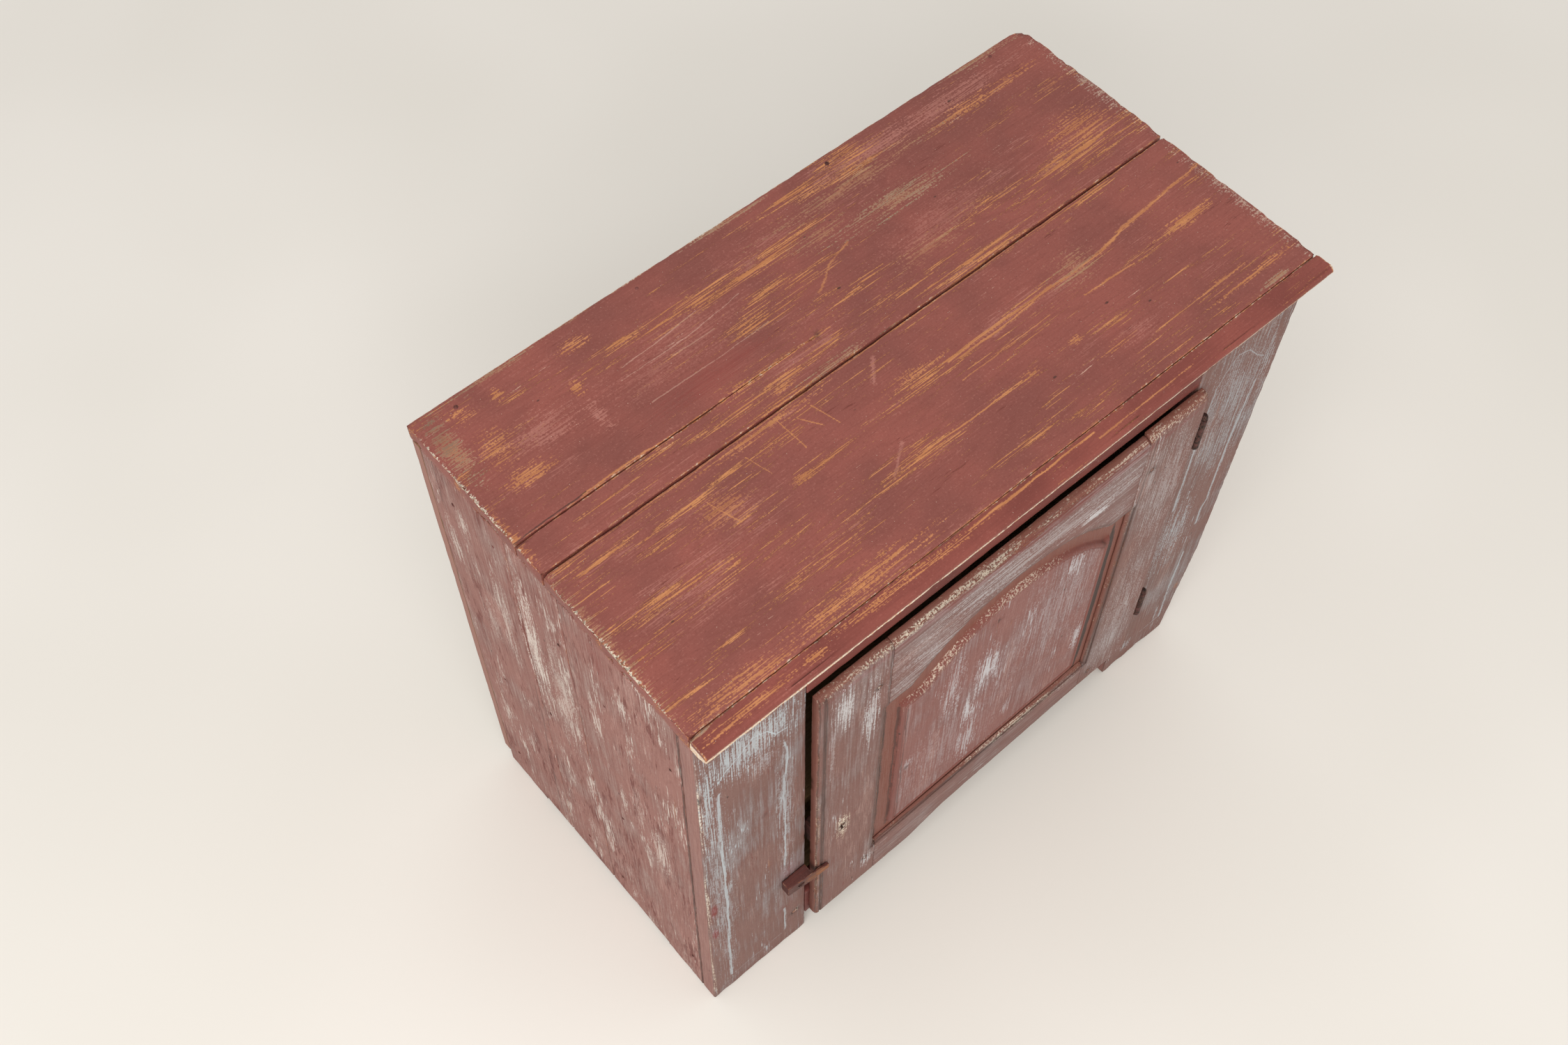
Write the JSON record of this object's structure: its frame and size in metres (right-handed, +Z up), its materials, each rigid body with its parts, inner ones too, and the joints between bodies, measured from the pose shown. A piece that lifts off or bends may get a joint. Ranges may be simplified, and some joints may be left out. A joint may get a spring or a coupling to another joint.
{
  "type": "dry sink cabinet",
  "caption": "Low painted wooden cupboard with an overhanging boarded top, a panelled hinged door with an arched field, a turn button and a rim lock.",
  "frame": {"origin": "on the floor under the middle of the whole outline, seen from above", "axes": "+Z up, +Y towards the back, +X to the right seen from the front; the door is on the -Y side"},
  "size_m": [1.018, 0.555, 0.914],
  "materials": {
    "painted_top": "worn oxide-red paint over bare wood",
    "painted_case": "rubbed dusty rose paint with limewash streaks",
    "painted_door": "rubbed dusty rose paint, red in the recesses, white flakes on the edges",
    "bare_wood": "bare aged softwood",
    "worn_wood": "bare rubbed wood with remains of maroon paint",
    "iron": "dull dark iron with rust"
  },
  "bodies": {
    "case": {"top_board_back": "painted_top", "top_board_front": "painted_top", "top_nosing": "painted_top", "stile_left": "painted_case", "stile_right": "painted_case", "rail_top": "painted_case", "rail_bottom": "painted_case", "frame_peg_top_left": "bare_wood", "frame_peg_top_right": "bare_wood", "frame_peg_bottom_left": "bare_wood", "frame_peg_bottom_right": "bare_wood", "side_left_board_1": "painted_case", "side_left_board_2": "painted_case", "side_left_board_3": "painted_case", "side_right_board_1": "painted_case", "side_right_board_2": "painted_case", "side_right_board_3": "painted_case", "back_board_1": "painted_case", "back_board_2": "painted_case", "back_board_3": "painted_case", "back_board_4": "painted_case", "back_head_rail": "bare_wood", "floor_cleat_left": "bare_wood", "floor_cleat_right": "bare_wood", "shelf_cleat_left": "bare_wood", "shelf_cleat_right": "bare_wood", "upper_cleat_left": "bare_wood", "upper_cleat_right": "bare_wood", "floor_board_1": "bare_wood", "floor_board_2": "bare_wood", "floor_board_3": "bare_wood", "shelf_board_1": "bare_wood", "shelf_board_2": "bare_wood", "hinge_upper_case_half": "iron", "hinge_lower_case_half": "iron", "hinge_upper_pin": "iron", "hinge_lower_pin": "iron", "turn_button_screw": "iron"},
    "door": {"door_stile_left": "painted_door", "door_stile_right": "painted_door", "door_rail_top": "painted_door", "door_rail_bottom": "painted_door", "door_panel": "painted_door", "door_peg_top_left": "bare_wood", "door_peg_top_right": "bare_wood", "door_peg_bottom_left": "bare_wood", "door_peg_bottom_right": "bare_wood", "hinge_upper_door_half": "iron", "hinge_lower_door_half": "iron", "lock_case": "iron", "lock_screw_1": "iron", "lock_screw_2": "iron", "lock_screw_3": "iron"},
    "turn_button": {"turn_button": "worn_wood"},
    "lock_bolt": {"lock_bolt": "iron"}
  },
  "joints": [
    {"name": "door_swing", "type": "hinge", "parent": "case", "child": "door", "pos_m": [0.33, -0.268, 0.45], "axis": [0, 0, 1], "range_deg": [0, 120]},
    {"name": "button_turn", "type": "hinge", "parent": "case", "child": "turn_button", "pos_m": [-0.354, -0.262, 0.257], "axis": [0, -1, 0], "continuous": true},
    {"name": "bolt_slide", "type": "slide", "parent": "door", "child": "lock_bolt", "axis": [-1, 0, 0], "range_m": [0, 0.022]}
  ]
}
